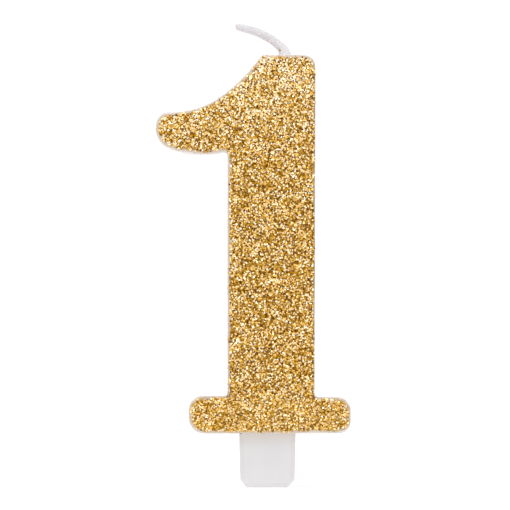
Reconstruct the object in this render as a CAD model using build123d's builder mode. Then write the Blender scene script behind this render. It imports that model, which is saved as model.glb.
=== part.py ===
from build123d import *
import math
import os

# Number birthday candle: a cast wax numeral 1 with a glittered front, a waxed cotton wick and a
# push-in plastic peg. Millimetres. The origin is where the peg leaves the foot's underside, midway
# through the thickness. +Z is up, -Y is the glittered front, +X is to the right seen from the front.

# ---- numeral ----
numeral_height = 70.0
stem_left = -7.38
stem_right = 8.72
stem_right_top = 8.88  # the casting widens very slightly towards its top
foot_left = -14.6
foot_right = 15.43
foot_left_height = 6.87
foot_right_height = 6.65
wax_thickness = 8.5

# The flag is a chain of tangent arcs, (radius, degrees turned, anticlockwise being positive): its
# hollow upper edge down to a short level stretch, then its nose, then its underside.
flag_top_x = -1.0
flag_top_angle = 53.6
flag_upper_arcs = [(36.1, -16.6), (15.6, -37.7)]
flag_level_length = 0.6
flag_nose_arcs = [(1.9, 65.5), (4.41, 52), (3.7, 43)]
flag_underside_radius = 17.7

foot_left_radii = (2.85, 2.5)  # bottom, top: a hand-poured casting is a little uneven
foot_right_radii = (2.3, 2.4)
top_right_radius = 2.0
top_left_radius = 0.8
inner_corner_radius = 0.5
front_edge_radius = 0.6
back_edge_radius = 0.5

# ---- front coating ----
glue_thickness = 0.10
glue_margin = 0.62
glitter_thickness = 0.25
glitter_margin = 0.70

# ---- wick ----
wick_radius = 0.5
wick_x = 3.1
wick_run_bottom = 12.0
bend_height = 70.97  # the free end bends about a point this high
root_radius = 0.92
coat_radius = 0.74
wick_lean = 47.0  # the free end's angle above level where it leaves its root
wick_arcs = [(12.9, 28), (21.5, 10)]  # (radius, degrees turned), flattening towards the tip

# ---- peg ----
peg_thickness = 2.2
peg_root_width = 10.5
peg_tip_width = 10.1
peg_length = 10.0
peg_corner = 1.3
peg_bevel_width = 0.85
peg_bevel_depth = 0.18
shank_length = 9.5
shank_corner = 1.0
slot_clearance = 0.05
slot_end_gap = 0.3

os.makedirs("parts", exist_ok=True)


# ---- outline of the numeral, in the front view ----
with BuildSketch(Plane.XZ) as numeral:
    with BuildLine():
        slope = math.radians(flag_top_angle)
        start, heading = (flag_top_x, numeral_height), (-math.cos(slope), -math.sin(slope))
        for radius, turn in flag_upper_arcs:
            arc = JernArc(start, heading, radius, turn)
            start, heading = arc @ 1, arc % 1
        level = Line(start, start + flag_level_length * heading)
        start = level @ 1
        for radius, turn in flag_nose_arcs:
            arc = JernArc(start, heading, radius, turn)
            start, heading = arc @ 1, arc % 1
        stem_side = Axis((stem_left, 0, 0), (0, 1, 0))
        underside = JernArc(start, heading, flag_underside_radius, stem_side)
        Polyline(
            underside @ 1,
            (stem_left, foot_left_height),
            (foot_left, foot_left_height),
            (foot_left, 0),
            (foot_right, 0),
            (foot_right, foot_right_height),
            (stem_right, foot_right_height),
            (stem_right_top, numeral_height),
            (flag_top_x, numeral_height),
        )
    make_face()
    rounded_corners = [
        (underside @ 1, inner_corner_radius),
        ((stem_left, foot_left_height), inner_corner_radius),
        ((stem_right, foot_right_height), inner_corner_radius),
        ((foot_left, 0), foot_left_radii[0]),
        ((foot_left, foot_left_height), foot_left_radii[1]),
        ((foot_right, 0), foot_right_radii[0]),
        ((foot_right, foot_right_height), foot_right_radii[1]),
        ((stem_right_top, numeral_height), top_right_radius),
        ((flag_top_x, numeral_height), top_left_radius),
    ]
    for corner, radius in rounded_corners:
        fillet(numeral.vertices().sort_by_distance(corner)[0], radius)


# ---- wax body: the casting, with the peg's slot and the wick's bore ----
with BuildPart() as wax_body:
    with BuildSketch(Plane.XZ):
        add(numeral.sketch_local)
    extrude(amount=wax_thickness / 2, both=True)
    fillet(wax_body.faces().sort_by(Axis.Y)[0].edges(), front_edge_radius)
    fillet(wax_body.faces().sort_by(Axis.Y)[-1].edges(), back_edge_radius)
    with BuildSketch(Plane.XY):
        Rectangle(peg_root_width + 2 * slot_clearance, peg_thickness + 2 * slot_clearance)
    extrude(amount=shank_length + slot_end_gap, mode=Mode.SUBTRACT)
    with BuildSketch(Plane.XY.offset(wick_run_bottom)):
        with Locations((wick_x, 0)):
            Circle(wick_radius)
    extrude(amount=numeral_height - wick_run_bottom, mode=Mode.SUBTRACT)


# ---- front coating: clear glue, then the layer of glitter flakes ----
with BuildPart() as glue_film:
    with BuildSketch(Plane.XZ.offset(wax_thickness / 2)):
        add(numeral.sketch_local)
        offset(amount=-glue_margin)
    extrude(amount=glue_thickness)

with BuildPart() as glitter_coat:
    with BuildSketch(Plane.XZ.offset(wax_thickness / 2 + glue_thickness)):
        add(numeral.sketch_local)
        offset(amount=-glitter_margin)
    extrude(amount=glitter_thickness)


# ---- wick: a straight run in the wax, and a free end that bends about its root ----
with BuildPart() as wick_run:
    with BuildSketch(Plane.XY.offset(wick_run_bottom)):
        with Locations((wick_x, 0)):
            Circle(wick_radius)
    extrude(amount=numeral_height - wick_run_bottom)


def free_end(tube_radius, ball_radius):
    """The wick's leaning free end as a round tube, with a ball where it bends."""
    with BuildPart() as piece:
        lean = math.radians(wick_lean)
        with BuildLine(Plane.XZ) as path:
            start, heading = (wick_x, bend_height), (-math.cos(lean), math.sin(lean))
            for radius, turn in wick_arcs:
                arc = JernArc(start, heading, radius, turn)
                start, heading = arc @ 1, arc % 1
        with BuildSketch(Plane(path.wire() @ 0, z_dir=path.wire() % 0)):
            Circle(tube_radius)
        sweep(path=path.wire())
        with Locations((wick_x, 0, bend_height)):
            Sphere(ball_radius)
    return piece.part


with BuildPart() as wick_end:
    add(free_end(wick_radius, wick_radius))

with BuildPart() as wick_wax:
    add(free_end(coat_radius, root_radius))
    add(wick_end.part, mode=Mode.SUBTRACT)


# ---- peg: a bevelled blade for the cake, and a plain shank that fills the slot ----
with BuildPart() as peg:
    half_root, half_tip = peg_root_width / 2, peg_tip_width / 2
    corner_z = peg_corner - peg_length
    with BuildSketch(Plane.XZ):
        with BuildLine():
            Polyline(
                (-half_root, 0),
                (-half_tip, corner_z),
                (peg_corner - half_tip, -peg_length),
                (half_tip - peg_corner, -peg_length),
                (half_tip, corner_z),
                (half_root, 0),
                close=True,
            )
        make_face()
    extrude(amount=peg_thickness / 2, both=True)
    for side in (0, -1):
        broad_face = peg.faces().sort_by(Axis.Y)[side]
        rim = broad_face.edges().sort_by(Axis.Z)[:-1]
        chamfer(rim, peg_bevel_width, peg_bevel_depth, reference=broad_face)
    with BuildSketch(Plane.XY):
        Rectangle(peg_root_width, peg_thickness)
    extrude(amount=shank_length)
    shank_corners = peg.edges().filter_by(Axis.Y).group_by(Axis.Z)[-1]
    chamfer(shank_corners, shank_corner)


pieces = {
    "wax_body": wax_body,
    "glue_film": glue_film,
    "glitter_coat": glitter_coat,
    "wick_run": wick_run,
    "wick_end": wick_end,
    "wick_wax": wick_wax,
    "peg": peg,
}
for name, piece in pieces.items():
    piece.part.label = name
    export_step(piece.part, f"parts/{name}.step")
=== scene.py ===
import math
import random

import bmesh
import bpy
from mathutils import Matrix, Vector, noise
from mathutils.bvhtree import BVHTree


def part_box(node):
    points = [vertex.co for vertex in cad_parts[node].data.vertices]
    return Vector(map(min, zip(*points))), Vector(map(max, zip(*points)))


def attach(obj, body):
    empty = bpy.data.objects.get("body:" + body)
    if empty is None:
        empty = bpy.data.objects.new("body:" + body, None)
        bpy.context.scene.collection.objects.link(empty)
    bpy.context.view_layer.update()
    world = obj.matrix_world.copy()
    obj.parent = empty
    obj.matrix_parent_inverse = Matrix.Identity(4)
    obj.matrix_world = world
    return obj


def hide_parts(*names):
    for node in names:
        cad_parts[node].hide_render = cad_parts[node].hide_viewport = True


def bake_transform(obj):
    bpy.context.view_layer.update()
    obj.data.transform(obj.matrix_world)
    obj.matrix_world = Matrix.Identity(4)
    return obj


# Looks of the number birthday candle: cast wax, clear glue, loose gold flakes, waxed wick and peg.
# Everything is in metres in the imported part's frame. The glittered front faces -Y.

MM = 0.001
FRONT = Vector((0, -1, 0))

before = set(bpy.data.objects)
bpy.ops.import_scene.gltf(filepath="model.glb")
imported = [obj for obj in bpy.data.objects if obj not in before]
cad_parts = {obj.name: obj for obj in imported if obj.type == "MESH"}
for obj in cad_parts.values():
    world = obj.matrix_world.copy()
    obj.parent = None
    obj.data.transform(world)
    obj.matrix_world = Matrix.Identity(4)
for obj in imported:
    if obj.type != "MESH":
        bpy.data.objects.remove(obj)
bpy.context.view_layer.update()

WAX_LOW, WAX_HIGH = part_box("wax_body")
PEG_LOW, PEG_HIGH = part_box("peg")
RUN_LOW, RUN_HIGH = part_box("wick_run")
WICK_X = (RUN_LOW.x + RUN_HIGH.x) / 2
WICK_RADIUS = (RUN_HIGH.x - RUN_LOW.x) / 2


# ---------------------------------------------------------------- camera, stage and light

FRAME_WIDTH = 94.6 * MM  # what the square picture spans at the candle
CAMERA_DISTANCE = 1.2
CAMERA_X = -2.30 * MM
CAMERA_Z = 33.05 * MM
SENSOR = 36.0


def add_camera():
    data = bpy.data.cameras.new("camera")
    data.sensor_width = SENSOR
    data.lens = SENSOR * CAMERA_DISTANCE / FRAME_WIDTH
    data.clip_start, data.clip_end = 0.05, 20
    camera = bpy.data.objects.new("camera", data)
    camera.location = (CAMERA_X, -CAMERA_DISTANCE, CAMERA_Z)
    camera.rotation_euler = (math.radians(90), 0, 0)
    bpy.context.scene.collection.objects.link(camera)
    bpy.context.scene.camera = camera


def area_light(name, location, size, watts, glints_only=False):
    data = bpy.data.lights.new(name, "AREA")
    data.shape, data.size, data.size_y = "RECTANGLE", *size
    data.energy = watts
    light = bpy.data.objects.new(name, data)
    light.location = location
    light.visible_diffuse = not glints_only
    middle = (WAX_LOW + WAX_HIGH) / 2
    light.rotation_euler = (middle - light.location).to_track_quat("-Z", "Y").to_euler()
    bpy.context.scene.collection.objects.link(light)


def add_lights():
    area_light("key", (-0.5, -0.8, 0.75), (0.3, 0.3), 1.6)
    area_light("strip", (0.8, -0.7, 0.25), (0.12, 0.6), 0.8)
    area_light("top", (0.1, -0.35, 1.0), (0.6, 0.25), 3.0)
    area_light("glints_left", (-0.45, -1.0, 0.1), (0.25, 0.35), 1.8, glints_only=True)
    area_light("glints_right", (0.4, -0.9, 0.5), (0.25, 0.25), 1.8, glints_only=True)
    area_light("back_left", (-0.5, 0.8, 0.6), (0.3, 0.3), 1.2)
    area_light("back_right", (0.7, 0.6, 0.3), (0.15, 0.5), 0.6)


ROOM_HEIGHTS = (-0.1, 0.9)  # of a direction's upward part, between which the room goes from dim to bright
ROOM_LIGHT = (0.32, 0.95)
SEEN_WHITE = 1.05


def add_world():
    """White where the camera sees it. To all else, a room that is brighter overhead than low down."""
    world = bpy.data.worlds.new("studio")
    bpy.context.scene.world = world
    world.use_nodes = True
    nodes, links = world.node_tree.nodes, world.node_tree.links
    place = nodes.new("ShaderNodeTexCoord")
    split = nodes.new("ShaderNodeSeparateXYZ")
    height = nodes.new("ShaderNodeMapRange")
    height.inputs["From Min"].default_value, height.inputs["From Max"].default_value = ROOM_HEIGHTS
    height.inputs["To Min"].default_value, height.inputs["To Max"].default_value = ROOM_LIGHT
    path = nodes.new("ShaderNodeLightPath")
    white = nodes.new("ShaderNodeMix")
    white.data_type = "RGBA"
    white.inputs["B"].default_value = (SEEN_WHITE, SEEN_WHITE, SEEN_WHITE, 1)
    links.new(place.outputs["Generated"], split.inputs["Vector"])
    links.new(split.outputs["Z"], height.inputs["Value"])
    links.new(height.outputs["Result"], white.inputs["A"])
    links.new(path.outputs["Is Camera Ray"], white.inputs["Factor"])
    links.new(white.outputs["Result"], nodes["Background"].inputs["Color"])


FLOOR_RADIUS = 6
FLOOR_GAP = 0.05 * MM
PAINTED_SHADOW_REACH = (8 * MM, 30 * MM)  # how far out the painted shadow round the candle's foot starts to fade, and has wholly faded
FLOOR_GLOW = (0.62, 0.75)  # glow in the painted shadow, and out of it


def add_floor():
    """Pale paper that glows as if lit from beneath as well, less so right under the candle: a painted
    shadow.
    """
    mesh = bpy.data.meshes.new("floor")
    build = bmesh.new()
    bmesh.ops.create_circle(build, cap_ends=True, segments=96, radius=FLOOR_RADIUS)
    bmesh.ops.translate(build, verts=build.verts, vec=(0, 0, PEG_LOW.z - FLOOR_GAP))
    build.to_mesh(mesh)
    build.free()
    floor = link_mesh("floor", mesh)
    material, nodes, links, shader = new_material("floor_paper", 0.9)
    tint_by_noise(nodes, links, shader, 300, (0.395, 0.395, 0.395), (0.405, 0.405, 0.405))
    shader.inputs["Specular IOR Level"].default_value = 0.0
    shader.inputs["Emission Color"].default_value = (1, 1, 1, 1)
    place = nodes.new("ShaderNodeTexCoord")
    away = nodes.new("ShaderNodeVectorMath")
    away.operation = "LENGTH"
    # the glow dims towards the candle's foot: a shadow painted on the floor
    glow = nodes.new("ShaderNodeMapRange")
    glow.interpolation_type = "SMOOTHSTEP"
    glow.inputs["From Min"].default_value, glow.inputs["From Max"].default_value = PAINTED_SHADOW_REACH
    glow.inputs["To Min"].default_value, glow.inputs["To Max"].default_value = FLOOR_GLOW
    links.new(place.outputs["Object"], away.inputs[0])
    links.new(away.outputs["Value"], glow.inputs["Value"])
    links.new(glow.outputs["Result"], shader.inputs["Emission Strength"])
    mesh.materials.append(material)


# ---------------------------------------------------------------- materials

def new_material(name, roughness):
    material = bpy.data.materials.new(name)
    material.use_nodes = True
    nodes, links = material.node_tree.nodes, material.node_tree.links
    shader = nodes["Principled BSDF"]
    shader.inputs["Roughness"].default_value = roughness
    return material, nodes, links, shader


def noise_node(nodes, links, scale, detail=2.0):
    place = nodes.new("ShaderNodeTexCoord")
    texture = nodes.new("ShaderNodeTexNoise")
    texture.inputs["Scale"].default_value = scale
    texture.inputs["Detail"].default_value = detail
    links.new(place.outputs["Object"], texture.inputs["Vector"])
    return texture


NOISE_SPAN = (0.3, 0.7)  # nearly all of a noise texture's values lie between these


def tint_by_noise(nodes, links, shader, scale, low, high, detail=3.0):
    """Base colour that drifts between two tints."""
    cloud = noise_node(nodes, links, scale, detail)
    ramp = nodes.new("ShaderNodeValToRGB")
    first, last = ramp.color_ramp.elements
    first.position, last.position = NOISE_SPAN
    first.color, last.color = (*low, 1), (*high, 1)
    links.new(cloud.outputs["Fac"], ramp.inputs["Fac"])
    links.new(ramp.outputs["Color"], shader.inputs["Base Color"])
    return ramp.outputs["Color"]


def bump_by_noise(nodes, links, shader, scale, strength, depth, detail=4.0):
    grain = noise_node(nodes, links, scale, detail)
    bump = nodes.new("ShaderNodeBump")
    bump.inputs["Strength"].default_value = strength
    bump.inputs["Distance"].default_value = depth
    links.new(grain.outputs["Fac"], bump.inputs["Height"])
    links.new(bump.outputs["Normal"], shader.inputs["Normal"])


def roughness_by_noise(nodes, links, shader, scale, low, high):
    wear = noise_node(nodes, links, scale)
    spread = nodes.new("ShaderNodeMapRange")
    spread.inputs["From Min"].default_value, spread.inputs["From Max"].default_value = NOISE_SPAN
    spread.inputs["To Min"].default_value, spread.inputs["To Max"].default_value = low, high
    links.new(wear.outputs["Fac"], spread.inputs["Value"])
    links.new(spread.outputs["Result"], shader.inputs["Roughness"])


def tint_by_height(nodes, links, shader, tint, heights, shares, other):
    """Mixes another tint in by height, with its shares at the heights' low end, middle and high end."""
    place = nodes.new("ShaderNodeTexCoord")
    split = nodes.new("ShaderNodeSeparateXYZ")
    height = nodes.new("ShaderNodeMapRange")
    height.inputs["From Min"].default_value, height.inputs["From Max"].default_value = heights
    ramp = nodes.new("ShaderNodeValToRGB")
    ramp.color_ramp.interpolation = "EASE"
    ramp.color_ramp.elements.new(0.5)
    for stop, share in zip(ramp.color_ramp.elements, shares):
        stop.color = (share, share, share, 1)
    mix = nodes.new("ShaderNodeMix")
    mix.data_type = "RGBA"
    mix.inputs["B"].default_value = (*other, 1)
    links.new(place.outputs["Object"], split.inputs["Vector"])
    links.new(split.outputs["Z"], height.inputs["Value"])
    links.new(height.outputs["Result"], ramp.inputs["Fac"])
    links.new(ramp.outputs["Color"], mix.inputs["Factor"])
    links.new(tint, mix.inputs["A"])
    links.new(mix.outputs["Result"], shader.inputs["Base Color"])


def scatter(shader, weight, radius, scale):
    shader.inputs["Subsurface Weight"].default_value = weight
    shader.inputs["Subsurface Radius"].default_value = radius
    shader.inputs["Subsurface Scale"].default_value = scale


def wax_material():
    """White wax, with the glue's amber where the STAIN attribute says that it has crept past the glitter."""
    material, nodes, links, shader = new_material("paraffin_wax", 0.42)
    tint = tint_by_noise(nodes, links, shader, 140, (0.72, 0.67, 0.65), (0.78, 0.73, 0.71))
    stained = nodes.new("ShaderNodeAttribute")
    stained.attribute_name = STAIN
    amber = nodes.new("ShaderNodeValToRGB")
    half, full = amber.color_ramp.elements
    half.position, half.color = 0.5, (0.63, 0.51, 0.38, 1)
    full.position, full.color = 1.0, (0.30, 0.18, 0.06, 1)
    depth = nodes.new("ShaderNodeMapRange")
    depth.inputs["From Max"].default_value = 0.5
    mix = nodes.new("ShaderNodeMix")
    mix.data_type = "RGBA"
    links.new(stained.outputs["Fac"], amber.inputs["Fac"])
    links.new(stained.outputs["Fac"], depth.inputs["Value"])
    links.new(depth.outputs["Result"], mix.inputs["Factor"])
    links.new(tint, mix.inputs["A"])
    links.new(amber.outputs["Color"], mix.inputs["B"])
    links.new(mix.outputs["Result"], shader.inputs["Base Color"])
    roughness_by_noise(nodes, links, shader, 400, 0.34, 0.5)
    bump_by_noise(nodes, links, shader, 900, 0.15, 0.05 * MM)
    scatter(shader, 0.45, (1.0, 0.7, 0.55), 1.0 * MM)
    return material


def wick_wax_material():
    """The wax that the wick was dipped in, thicker and so whiter where it runs down to the root."""
    material, nodes, links, shader = new_material("waxed_cotton", 0.45)
    tint = tint_by_noise(nodes, links, shader, 900, (0.65, 0.63, 0.65), (0.705, 0.68, 0.70))
    tint_by_height(nodes, links, shader, tint, ROOT_WHITE, (1, 0.5, 0), (0.77, 0.745, 0.76))
    bump_by_noise(nodes, links, shader, 2500, 0.05, 0.03 * MM)
    shader.inputs["Specular IOR Level"].default_value = 0.15
    scatter(shader, 0.35, (1.0, 0.85, 0.85), 0.4 * MM)
    return material


def cotton_material():
    material, nodes, links, shader = new_material("braided_cotton", 0.85)
    tint_by_noise(nodes, links, shader, 5000, (0.66, 0.62, 0.58), (0.86, 0.83, 0.79))
    bump_by_noise(nodes, links, shader, 9000, 0.4, 0.03 * MM)
    return material


PEG_TINTS = [(0.785, 0.77, 0.78), (0.815, 0.80, 0.81), (0.78, 0.725, 0.67)]  # plain twice, then the warm painted shade and painted gold reflection under the foot
PEG_PAINTED_SHADE = (-2.6 * MM, 3.4 * MM)  # painted shade and painted reflection of the gold show on the peg under the foot between these heights
ROOT_WHITE = (WAX_HIGH.z + 0.4 * MM, WAX_HIGH.z + 3.6 * MM)  # the wick's wax whitens down between these


def peg_material(name, shade):
    """White plastic, with painted shade and a painted warm reflection of the gold just under the foot."""
    material, nodes, links, shader = new_material(name, 0.36)
    low, high, amber = (tuple(shade * part for part in tint) for tint in PEG_TINTS)
    tint = tint_by_noise(nodes, links, shader, 220, low, high)
    # painted shade and gold reflection under the foot, strongest at the foot's underside
    tint_by_height(nodes, links, shader, tint, PEG_PAINTED_SHADE, (0, 1, 0), amber)
    roughness_by_noise(nodes, links, shader, 600, 0.3, 0.42)
    shader.inputs["Specular IOR Level"].default_value = 0.15
    bump_by_noise(nodes, links, shader, 1800, 0.08, 0.02 * MM)
    scatter(shader, 0.25, (1.0, 0.95, 0.9), 0.5 * MM)
    return material


def glue_material():
    material, nodes, links, shader = new_material("glue_bed_deep_gold_painted_shade", 0.3)
    # dark gold-brown: the gold of deeper flakes, and painted shade in the gaps between the flakes
    tint_by_noise(nodes, links, shader, 2600, (0.12, 0.050, 0.001), (0.36, 0.18, 0.012), 2)
    shader.inputs["Metallic"].default_value = 0.5
    return material


# ---------------------------------------------------------------- mesh helpers

def link_mesh(name, mesh):
    piece = bpy.data.objects.new(name, mesh)
    bpy.context.scene.collection.objects.link(piece)
    return piece


def mesh_piece(name, build, material, smooth=True):
    mesh = bpy.data.meshes.new(name)
    bmesh.ops.recalc_face_normals(build, faces=build.faces)
    build.to_mesh(mesh)
    build.free()
    mesh.polygons.foreach_set("use_smooth", [smooth] * len(mesh.polygons))
    mesh.materials.clear()
    mesh.materials.append(material)
    return link_mesh(name, mesh)


def apply_modifiers(piece):
    graph = bpy.context.evaluated_depsgraph_get()
    mesh = bpy.data.meshes.new_from_object(piece.evaluated_get(graph))
    piece.modifiers.clear()
    old, piece.data = piece.data, mesh
    mesh.name = piece.name
    bpy.data.meshes.remove(old)


def settle(piece, body, slot, *nodes):
    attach(piece, body)
    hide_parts(*nodes)


# ---------------------------------------------------------------- wax body

WAX_VOXEL = 0.3 * MM
WAVES = [(0.035 * MM, 7 * MM), (0.012 * MM, 1.8 * MM)]  # (height, length) of the casting's waviness
SINK_RIM = 1.3 * MM  # the poured back face sinks inside this border as the wax cools
SINK_DEPTH = 0.14 * MM
CUT_CLEAR = 0.2 * MM
STAIN = "stain"
STAIN_REACH = 0.26 * MM  # the glue creeps this far past the glitter
STAIN_PASSES = 2  # of smoothing


def close_hollow(build, inside):
    """Deletes the faces whose middles are inside a hollow, and caps the hole that they leave."""
    bmesh.ops.delete(build, geom=[f for f in build.faces if inside(f.calc_center_median())],
                     context="FACES")
    rim = [e for e in build.edges if e.is_boundary]
    bmesh.ops.holes_fill(build, edges=rim, sides=0)


def solid_casting():
    """The CAD casting without its slot and bore, ready to be remeshed evenly."""
    build = bmesh.new()
    build.from_mesh(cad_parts["wax_body"].data)
    bmesh.ops.remove_doubles(build, verts=build.verts, dist=0.001 * MM)
    close_hollow(build, lambda p: abs(p.x) < PEG_HIGH.x + CUT_CLEAR and abs(p.y) < PEG_HIGH.y + CUT_CLEAR
                 and 0.001 * MM < p.z < PEG_HIGH.z + 2 * CUT_CLEAR)
    close_hollow(build, lambda p: math.hypot(p.x - WICK_X, p.y) < WICK_RADIUS + CUT_CLEAR
                 and RUN_LOW.z - CUT_CLEAR < p.z < RUN_HIGH.z - 0.001 * MM)
    return build


def tree_of(mesh):
    build = bmesh.new()
    build.from_mesh(mesh)
    tree = BVHTree.FromBMesh(build)
    build.free()
    return tree


def weather(wax):
    """Casting marks: a slight wave all over, and a back face that has sunk inside its border."""
    tree = tree_of(wax.data)
    away = Vector((0, 5 * MM, 0))
    wax.data.update()
    moved = []
    for v in wax.data.vertices:
        at, normal = v.co.copy(), v.normal.copy()
        wave = sum(height * noise.noise(at / length) for height, length in WAVES)
        sink = 0
        if normal.y > 0.7:
            rim_clear = all(
                tree.ray_cast(at + away + SINK_RIM * Vector((math.cos(a), 0, math.sin(a))), FRONT)[0]
                for a in (math.pi * i / 4 for i in range(8)))
            sink = SINK_DEPTH if rim_clear else 0
        moved.append(at + normal * wave - Vector((0, sink, 0)))
    for v, at in zip(wax.data.vertices, moved):
        v.co = at


def cut(piece, cutter_build):
    mesh = bpy.data.meshes.new("cutter")
    bmesh.ops.recalc_face_normals(cutter_build, faces=cutter_build.faces)
    cutter_build.to_mesh(mesh)
    cutter_build.free()
    cutter = link_mesh("cutter", mesh)
    hollow = piece.modifiers.new("hollow", "BOOLEAN")
    hollow.operation, hollow.solver, hollow.object = "DIFFERENCE", "EXACT", cutter
    apply_modifiers(piece)
    bpy.data.objects.remove(cutter)
    bpy.data.meshes.remove(mesh)


def slot_cutter():
    """A box with room round the peg's shank, from below the foot to just past the shank's end."""
    side_room, end_room, below = 0.05 * MM, 0.3 * MM, 2 * MM
    wide = 2 * (PEG_HIGH.x + side_room)
    deep = 2 * (PEG_HIGH.y + side_room)
    tall = PEG_HIGH.z + end_room + below
    build = bmesh.new()
    bmesh.ops.create_cube(build, size=1)
    bmesh.ops.scale(build, verts=build.verts, vec=(wide, deep, tall))
    bmesh.ops.translate(build, verts=build.verts, vec=(0, 0, tall / 2 - below))
    return build


def bore_cutter():
    tall = RUN_HIGH.z - RUN_LOW.z + 2 * MM
    build = bmesh.new()
    bmesh.ops.create_cone(build, cap_ends=True, segments=32, radius1=WICK_RADIUS, radius2=WICK_RADIUS,
                          depth=tall)
    bmesh.ops.translate(build, verts=build.verts, vec=(WICK_X, 0, RUN_LOW.z + tall / 2))
    return build


def stain(wax, face):
    """Marks how dark the glue has stained the wax's front, fading out over a few vertices."""
    mesh = wax.data
    levels = []
    for v in mesh.vertices:
        bare, _, stained = face.margins(v.co.x, v.co.z)
        reached = v.normal.dot(FRONT) > 0.1 and face.holds(v.co.x, v.co.z, max(0, bare - STAIN_REACH))
        levels.append(stained if reached else 0.0)
    for _ in range(STAIN_PASSES):
        total, count = list(levels), [1] * len(levels)
        for edge in mesh.edges:
            a, b = edge.vertices
            total[a] += levels[b]
            total[b] += levels[a]
            count[a] += 1
            count[b] += 1
        levels = [t / c for t, c in zip(total, count)]
    mesh.attributes.new(STAIN, "FLOAT", "POINT").data.foreach_set("value", levels)


def make_wax():
    wax = mesh_piece("wax_casting", solid_casting(), wax_material())
    remesh = wax.modifiers.new("even", "REMESH")
    remesh.mode, remesh.voxel_size, remesh.adaptivity = "VOXEL", WAX_VOXEL, 0
    remesh.use_smooth_shade = True
    soften = wax.modifiers.new("soften", "SMOOTH")
    soften.factor, soften.iterations = 0.5, 3
    apply_modifiers(wax)
    weather(wax)
    soften = wax.modifiers.new("soften", "SMOOTH")
    soften.factor, soften.iterations = 0.5, 4
    apply_modifiers(wax)
    face = FrontFace(wax)
    cut(wax, slot_cutter())
    cut(wax, bore_cutter())
    stain(wax, face)
    settle(wax, "candle", "wax", "wax_body")
    return wax, face


# ---------------------------------------------------------------- front face and its margins

PROBES = 12
WANDER = [(0.35, 2.6 * MM), (0.3, 0.9 * MM)]  # (share, length) of the waves along the margins

# Places on the front as shares of the casting's width and height, and what is seen near each: how far
# the coating stops short of the outline, over how wide a band inside that its flakes are sparse, both
# in millimetres, and how dark the glue has stained the bare wax.
MARGINS = {
    (0.00, 0.81): (0.36, 0.40, 0.5),
    (0.04, 0.84): (0.55, 0.35, 0.5),
    (0.12, 0.755): (0.62, 0.25, 0.5),
    (0.30, 0.745): (0.45, 0.20, 0.5),
    (0.13, 0.85): (0.30, 0.20, 0.5),
    (0.25, 0.87): (0.30, 0.15, 0.4),
    (0.38, 0.93): (0.30, 0.20, 0.4),
    (0.52, 0.99): (0.30, 0.45, 0.5),
    (0.70, 1.00): (0.22, 0.40, 0.5),
    (0.81, 0.99): (0.36, 0.25, 0.6),
    (0.82, 0.94): (0.12, 0.05, 1.0),
    (0.37, 0.60): (0.32, 0.10, 0.5),
    (0.37, 0.35): (0.34, 0.10, 0.5),
    (0.37, 0.14): (0.20, 0.10, 0.4),
    (0.82, 0.80): (0.12, 0.05, 1.0),
    (0.82, 0.50): (0.12, 0.05, 1.0),
    (0.82, 0.20): (0.12, 0.05, 1.0),
    (0.82, 0.11): (0.08, 0.15, 0.6),
    (0.18, 0.09): (0.50, 0.30, 0.6),
    (0.17, 0.05): (0.40, 0.35, 0.5),
    (0.21, 0.00): (0.55, 0.25, 0.5),
    (0.24, 0.10): (0.20, 0.25, 0.7),
    (0.31, 0.10): (0.12, 0.20, 0.65),
    (0.86, 0.10): (0.12, 0.30, 0.7),
    (0.93, 0.10): (0.26, 0.35, 0.7),
    (1.00, 0.07): (0.34, 0.35, 0.6),
    (1.00, 0.03): (0.34, 0.35, 0.6),
    (0.95, 0.00): (0.60, 0.30, 0.5),
    (0.80, 0.00): (0.55, 0.20, 0.5),
    (0.60, 0.00): (0.32, 0.15, 0.5),
    (0.30, 0.00): (0.34, 0.15, 0.5),
}


class FrontFace:
    """The wax as seen square on from the front: where a point of the front view meets it."""

    def __init__(self, wax):
        self.tree = tree_of(wax.data)

    def hit(self, x, z):
        return self.tree.ray_cast(Vector((x, WAX_LOW.y - 5 * MM, z)), -FRONT)[:2]

    def margins(self, x, z):
        """(bare margin, sparse band, stain) here: the places' own, the nearer the weightier."""
        total, weight = Vector((0, 0, 0)), 0
        for (across, up), seen in MARGINS.items():
            place_x = WAX_LOW.x + across * (WAX_HIGH.x - WAX_LOW.x)
            place_z = WAX_LOW.z + up * (WAX_HIGH.z - WAX_LOW.z)
            nearness = ((x - place_x) ** 2 + (z - place_z) ** 2 + MM * MM) ** -1.5
            total += nearness * Vector(seen)
            weight += nearness
        bare, band, stained = total / weight
        here = Vector((x, 0, z))
        wander = 1 + sum(share * noise.noise(here / length) for share, length in WANDER)
        return bare * wander * MM, band * MM, stained

    def holds(self, x, z, reach):
        """Whether the wax goes on this far all round a point of the front view."""
        for i in range(PROBES):
            angle = 2 * math.pi * i / PROBES
            if self.hit(x + reach * math.cos(angle), z + reach * math.sin(angle))[0] is None:
                return False
        return True


# ---------------------------------------------------------------- glue and glitter

FLAKE_WIDTH = 0.335 * MM  # across flats
FLAKE_SIZES = (0.78, 1.12)  # shares of that width
FLAKE_THICKNESS = 0.025 * MM
FLAKE_PITCH = 0.252 * MM
FLAKE_JITTER = 0.12 * MM
FLAKE_TILT = 24.0  # degrees, one standard deviation
FLAKE_TILT_MOST = 62.0
FLAKE_LIFT = (0.05 * MM, 0.24 * MM)
FLAKE_EDGE = 0.10 * MM  # flake centres stay this much further in, so that flakes reach the margin
FLAKE_FACING = 0.45  # none lie where the wax faces the front less than this, as a cosine
SPARSE_SHARE = 0.65  # of the flakes are there in the sparse band
FOOT_TOP = 22 * MM  # the glitter is three pieces, parted at these heights above the foot's underside
FLAG_LOW = 50 * MM

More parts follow.
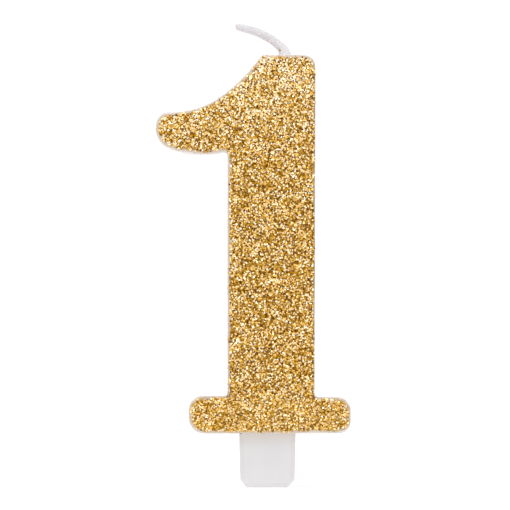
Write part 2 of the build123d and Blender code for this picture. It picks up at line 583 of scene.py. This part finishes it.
STRAYS = 40
STRAY_FACING = 0.3  # they lie where the wax faces the front less than this, as a cosine
STRAY_REACH = 4 * MM  # how far back from the front they are found
STRAY_FADE = 0.7 * MM  # they thin out by a factor of e over this distance
STRAY_LIE = (6.0, (0.012 * MM, 0.02 * MM))  # degrees of tilt, and lift
WICK_SPECKS = [(0.10 * MM, 72.86 * MM), (2.35 * MM, 71.0 * MM)]  # (x, z) in the front view

# Gold from flakes painted as shadowed to flakes painted as glaring, lit and shaded copies of one gold, as
# (colour, roughness, shares of the flakes along the stem, at the top and at the foot). The top's and foot's
# shares lean brighter: painted light.
GOLDS = [
    ((0.14, 0.044, 0.000), 0.46, (0.08, 0.03, 0.01)),
    ((0.29, 0.120, 0.000), 0.44, (0.12, 0.05, 0.05)),
    ((0.47, 0.234, 0.008), 0.42, (0.17, 0.11, 0.18)),
    ((0.66, 0.380, 0.058), 0.40, (0.19, 0.16, 0.26)),
    ((0.85, 0.542, 0.175), 0.40, (0.17, 0.18, 0.24)),
    ((0.99, 0.720, 0.370), 0.40, (0.13, 0.19, 0.14)),
    ((1.00, 0.835, 0.560), 0.40, (0.09, 0.16, 0.08)),
    ((1.00, 0.900, 0.680), 0.40, (0.05, 0.12, 0.04)),
]
GRAZING_GOLD = (1.0, 0.70, 0.25)
COAT_MOST = 0.6  # lacquer on the brightest golds, less and less down to none on the darkest
TOP_SHARES = (0.74, 0.94)  # the golds change to the top's own, brighter as painted light, between these shares of the height
FOOT_SHARES = (0.14, 0.08)  # and to the foot's own, a little brighter as painted light, between these


def gold_materials():
    made = []
    for i, (colour, roughness, _) in enumerate(GOLDS):
        material, nodes, links, shader = new_material(f"gold_foil_{i}", roughness)
        shader.inputs["Base Color"].default_value = (*colour, 1)
        shader.inputs["Metallic"].default_value = 1.0
        shader.inputs["Specular Tint"].default_value = (*GRAZING_GOLD, 1)
        shader.inputs["Coat Weight"].default_value = COAT_MOST * (i / (len(GOLDS) - 1)) ** 1.5
        shader.inputs["Coat Roughness"].default_value = 0.12
        made.append(material)
    return made


def flake_places(face, draw):
    """A loose triangular packing over the coated front, as (place, surface normal) pairs."""
    places = []
    row_step = FLAKE_PITCH * math.sqrt(3) / 2
    rows = int((WAX_HIGH.z - WAX_LOW.z) / row_step) + 1
    columns = int((WAX_HIGH.x - WAX_LOW.x) / FLAKE_PITCH) + 1
    for row in range(rows):
        for column in range(columns):
            x = WAX_LOW.x + (column + 0.5 * (row % 2)) * FLAKE_PITCH + draw.gauss(0, FLAKE_JITTER)
            z = WAX_LOW.z + row * row_step + draw.gauss(0, FLAKE_JITTER)
            place, normal = face.hit(x, z)
            if place is None or normal.dot(FRONT) < FLAKE_FACING:
                continue
            bare, band, _ = face.margins(x, z)
            if not face.holds(x, z, bare + FLAKE_EDGE):
                continue
            if draw.random() < SPARSE_SHARE or face.holds(x, z, bare + FLAKE_EDGE + band):
                places.append((place, normal))
    return places


def add_flake(verts, faces, centre, facing, radius, draw):
    """Adds one closed hexagonal flake."""
    side = facing.orthogonal().normalized()
    side.rotate(Matrix.Rotation(draw.uniform(0, 2 * math.pi), 3, facing))
    up = facing.cross(side)
    first = len(verts)
    for layer in (-0.5, 0.5):
        for i in range(6):
            angle = math.pi * i / 3
            verts.append(centre + facing * (layer * FLAKE_THICKNESS)
                         + side * (radius * math.cos(angle)) + up * (radius * math.sin(angle)))
    faces.append([first + 5 - i for i in range(6)])
    faces.append([first + 6 + i for i in range(6)])
    for i in range(6):
        j = (i + 1) % 6
        faces.append([first + i, first + j, first + 6 + j, first + 6 + i])


def tilted(normal, tilt, draw):
    across = normal.orthogonal().normalized()
    across.rotate(Matrix.Rotation(draw.uniform(0, 2 * math.pi), 3, normal))
    facing = normal.copy()
    facing.rotate(Matrix.Rotation(math.radians(tilt), 3, across))
    return facing


def gold_shares(z):
    """The shares of the golds at a height: the stem's own, going over to those of its top and foot, brighter
    as painted light.
    """
    up = (z - WAX_LOW.z) / (WAX_HIGH.z - WAX_LOW.z)
    top, foot = (min(1, max(0, (up - start) / (end - start))) for start, end in (TOP_SHARES, FOOT_SHARES))
    mix = (1 - top - foot, top, foot)
    return [sum(share * part for share, part in zip(shares, mix)) for _, _, shares in GOLDS]


def flake_mesh(name, places, materials, draw, tilt=FLAKE_TILT, lift=FLAKE_LIFT):
    """Flakes on the given places, each with its own tilt, turn, size, lift and gold."""
    verts, faces, golds = [], [], []
    for place, normal in places:
        facing = tilted(normal, min(abs(draw.gauss(0, tilt)), FLAKE_TILT_MOST), draw)
        radius = FLAKE_WIDTH / math.sqrt(3) * draw.uniform(*FLAKE_SIZES)
        add_flake(verts, faces, place + normal * draw.uniform(*lift), facing, radius, draw)
        golds += [draw.choices(range(len(GOLDS)), gold_shares(place.z))[0]] * 8
    mesh = bpy.data.meshes.new(name)
    mesh.from_pydata(verts, [], faces)
    for material in materials:
        mesh.materials.append(material)
    mesh.polygons.foreach_set("material_index", golds)
    return mesh


def make_glitter(face):
    draw = random.Random(7)
    places = flake_places(face, draw)
    materials = gold_materials()
    regions = {
        "glitter_foot": lambda p: p.z < WAX_LOW.z + FOOT_TOP,
        "glitter_stem": lambda p: WAX_LOW.z + FOOT_TOP <= p.z < WAX_LOW.z + FLAG_LOW,
        "glitter_flag": lambda p: p.z >= WAX_LOW.z + FLAG_LOW,
    }
    for name, holds in regions.items():
        here = [pair for pair in places if holds(pair[0])]
        piece = link_mesh(name, flake_mesh(name, here, materials, draw))
        settle(piece, "candle", "gold_glitter", "glitter_coat")
    return materials


def make_strays(wax, coat, materials):
    """Single flakes that landed on the wax's sides near the front, and two that landed on the wick."""
    draw = random.Random(5)
    bare = [(v.co.copy(), v.normal.copy()) for v in wax.data.vertices
            if v.normal.dot(FRONT) < STRAY_FACING and v.co.y < WAX_LOW.y + STRAY_REACH]
    weights = [math.exp((WAX_LOW.y - place.y) / STRAY_FADE) for place, _ in bare]
    on_wax = draw.choices(bare, weights, k=STRAYS)
    strays = link_mesh("stray_flakes", flake_mesh("stray_flakes", on_wax, materials, draw, *STRAY_LIE))
    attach(strays, "candle")

    tree = tree_of(coat.data)
    on_wick = [tree.ray_cast(Vector((x, WAX_LOW.y, z)), -FRONT)[:2] for x, z in WICK_SPECKS]
    specks = link_mesh("wick_specks", flake_mesh("wick_specks", on_wick, materials, draw, *STRAY_LIE))
    bend_wick(specks)


BED_FACING = 0.5  # the glue ends where the wax faces the front less than this, as a cosine


def make_bed(wax, face):
    """The glue under the flakes: the wax's coated front faces, lifted off and given a thickness."""
    lift, thickness, inset = 0.10 * MM, 0.09 * MM, 0.16 * MM
    build = bmesh.new()
    build.from_mesh(wax.data)
    build.normal_update()
    bare = []
    for f in build.faces:
        middle = f.calc_center_median()
        margin, band, _ = face.margins(middle.x, middle.z)
        if f.normal.dot(FRONT) < BED_FACING or not face.holds(middle.x, middle.z, margin + band + inset):
            bare.append(f)
    bmesh.ops.delete(build, geom=bare, context="FACES")
    normals = [(v, v.normal.copy()) for v in build.verts]
    for v, normal in normals:
        v.co += normal * lift
    bed = mesh_piece("glue_bed", build, glue_material())
    solid = bed.modifiers.new("thick", "SOLIDIFY")
    solid.thickness, solid.offset = thickness, -1
    apply_modifiers(bed)
    settle(bed, "candle", "clear_glue", "glue_film")


# ---------------------------------------------------------------- wick

ROOT_RISE = 0.1 * MM  # the wick stands up out of the wax this far before it leans over
ROOT_BEND = 2.0 * MM
WICK_LEAN = 44.0  # degrees above level once it has bent
WICK_ARCS = [(12.9 * MM, 25.0), (21.5 * MM, 9.4)]  # (radius, degrees turned)
WICK_STEP = 0.08 * MM
TIP_SLANT = 0.3  # the tip leans forward on its upper side, by this share of its radius
TIP_STATIONS = 14  # the slant comes in over this many of the last rings
TIP_DOME = 0.30 * MM
TIP_RINGS = 6
SMOOTH_ROOT = 0.2  # share of its length over which the coat goes from smooth to its full relief
BRAID_RELIEF = 0.005 * MM
LUMP_RELIEF = 0.025 * MM
LUMP_LENGTH = 0.9 * MM

# (share of the wick's length, radius in millimetres), from the skirt of wax where it leaves the casting
# to its tip
COAT_PROFILE = [(0.0, 1.50), (0.02, 1.32), (0.05, 1.14), (0.10, 0.99), (0.16, 0.88), (0.26, 0.80),
                (0.45, 0.77), (0.75, 0.74), (0.90, 0.69), (0.97, 0.64), (1.0, 0.60)]


def wick_line(below):
    """Points along the wick's centreline, and the headings there, from a depth inside the wax."""
    point, heading = Vector((WICK_X + 0.06 * MM, 0, WAX_HIGH.z - below)), math.radians(90)
    runs = [(None, below + ROOT_RISE), (ROOT_BEND, 90 - WICK_LEAN)] + WICK_ARCS
    line = [(point.copy(), heading)]
    for radius, amount in runs:
        length = amount if radius is None else radius * math.radians(amount)
        steps = max(2, round(length / WICK_STEP))
        for _ in range(steps):
            turn = 0 if radius is None else math.radians(amount) / steps
            heading += turn / 2
            point += length / steps * Vector((math.cos(heading), 0, math.sin(heading)))
            heading += turn / 2
            line.append((point.copy(), heading))
    return line


def profile_radius(share):
    for (s0, r0), (s1, r1) in zip(COAT_PROFILE, COAT_PROFILE[1:]):
        if share <= s1:
            t = (share - s0) / (s1 - s0)
            return MM * (r0 + (r1 - r0) * t)
    return MM * COAT_PROFILE[-1][1]


def ring_tube(rings):
    """A closed tube through rings of points, each with as many points, closed by a fan at each end."""
    build = bmesh.new()
    loops = [[build.verts.new(p) for p in ring] for ring in rings]
    for a, b in zip(loops, loops[1:]):
        for i in range(len(a)):
            j = (i + 1) % len(a)
            build.faces.new((a[i], a[j], b[j], b[i]))
    for loop in (loops[0], loops[-1]):
        middle = build.verts.new(sum((v.co for v in loop), Vector()) / len(loop))
        for i in range(len(loop)):
            build.faces.new((loop[i], loop[(i + 1) % len(loop)], middle))
    return build


def wick_axes(heading):
    """The directions along the wick, across it on its upper side, and across it towards the back."""
    along = Vector((math.cos(heading), 0, math.sin(heading)))
    return along, Vector((along.z, 0, -along.x)), Vector((0, 1, 0))


def coat_stations():
    """(point, heading, radius) along the dip coat, closing in a dome at its tip."""
    line = wick_line(0.15 * MM)
    last = len(line) - 1
    stations = [(point, heading, profile_radius(k / last)) for k, (point, heading) in enumerate(line)]
    tip, heading, radius = stations[-1]
    along = wick_axes(heading)[0]
    for step in range(1, TIP_RINGS):
        angle = math.pi / 2 * step / TIP_RINGS
        stations.append((tip + TIP_DOME * math.sin(angle) * along, heading, radius * math.cos(angle)))
    return stations


def make_wick_coat():
    """The dip coat: a skirt at its root, the braid showing faintly through, and a rounded tip."""
    around, braid_pitch = 40, 0.55 * MM
    stations = coat_stations()
    rings = []
    for k, (point, heading, radius) in enumerate(stations):
        share = k / (len(stations) - 1)
        along, upper, back = wick_axes(heading)
        slant = TIP_SLANT * max(0, 1 - (len(stations) - 1 - k) / TIP_STATIONS)
        ring = []
        for i in range(around):
            angle = 2 * math.pi * i / around
            across = math.cos(angle) * upper + math.sin(angle) * back
            place = point + radius * across
            turn = k * WICK_STEP / braid_pitch
            braid = math.sin(3 * angle + turn) * math.sin(3 * angle - turn)
            lump = BRAID_RELIEF * braid + LUMP_RELIEF * noise.noise(place / LUMP_LENGTH)
            relief = min(1, share / SMOOTH_ROOT) * lump
            ring.append(place + relief * across + slant * radius * math.cos(angle) * along)
        rings.append(ring)
    coat = mesh_piece("wick_coat", ring_tube(rings), wick_wax_material())
    bend_wick(coat)
    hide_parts("wick_wax")
    return coat


def bend_wick(piece):
    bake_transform(piece)


def make_wick_cotton():
    """Yarns twisted together inside the coat, ending unevenly inside its tip."""
    yarns, yarn_radius, lay_radius, around = 7, 0.14 * MM, 0.28 * MM, 10
    twist = 2 * math.pi / (3.2 * MM)
    draw = random.Random(11)
    line = wick_line(0)
    build = bmesh.new()
    for y in range(yarns):
        middle = y == yarns - 1
        cut_back = draw.uniform(0.45, 0.7) * MM
        rings = []
        for k, (point, heading) in enumerate(line[:-round(cut_back / WICK_STEP)]):
            _, upper, back = wick_axes(heading)
            angle = 2 * math.pi * y / (yarns - 1) + k * WICK_STEP * twist
            offset = Vector() if middle else lay_radius * (math.cos(angle) * upper + math.sin(angle) * back)
            rings.append([
                point + offset + yarn_radius * (math.cos(a) * upper + math.sin(a) * back)
                for a in (2 * math.pi * i / around for i in range(around))])
        part = ring_tube(rings)
        mesh = bpy.data.meshes.new("yarn")
        part.to_mesh(mesh)
        part.free()
        build.from_mesh(mesh)
        bpy.data.meshes.remove(mesh)
    cotton = mesh_piece("wick_cotton", build, cotton_material())
    bend_wick(cotton)
    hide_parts("wick_end")


# ---------------------------------------------------------------- peg

PEG_EDGE_BREAK = 0.12 * MM
PEG_SHARP = math.radians(20)  # edges that turn more than this are broken
# how much darker the side bevels are painted, as painted shade
BEVEL_PAINTED_SHADE = 0.955


def make_peg():
    """The moulded peg with its edges broken, and its side bevels painted greyer than its broad faces:
    painted shade.
    """
    build = bmesh.new()
    build.from_mesh(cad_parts["peg"].data)
    bmesh.ops.remove_doubles(build, verts=build.verts, dist=0.001 * MM)
    bmesh.ops.dissolve_limit(build, angle_limit=math.radians(1), verts=build.verts, edges=build.edges)
    sharp = [e for e in build.edges if len(e.link_faces) == 2 and e.calc_face_angle() > PEG_SHARP]
    bmesh.ops.bevel(build, geom=sharp, offset=PEG_EDGE_BREAK, offset_type="OFFSET", segments=3,
                    profile=0.5, affect="EDGES")
    peg = mesh_piece("moulded_peg", build, peg_material("white_polypropylene", 1), smooth=False)
    peg.data.materials.append(peg_material("white_polypropylene_painted_bevel_shade", BEVEL_PAINTED_SHADE))
    for face in peg.data.polygons:
        # side bevels that don't face down get the darker copy: painted shade
        face.material_index = int(abs(face.normal.y) < 0.99 and face.normal.z > -0.1)
    settle(peg, "peg", "peg_plastic", "peg")


def main():
    add_camera()
    add_world()
    add_floor()
    add_lights()
    wax, face = make_wax()
    make_bed(wax, face)
    golds = make_glitter(face)
    coat = make_wick_coat()
    make_wick_cotton()
    make_strays(wax, coat, golds)
    make_peg()
    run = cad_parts["wick_run"]
    run.data.materials.clear()
    run.data.materials.append(cotton_material())

    bpy.context.scene.view_settings.view_transform = "Standard"


main()
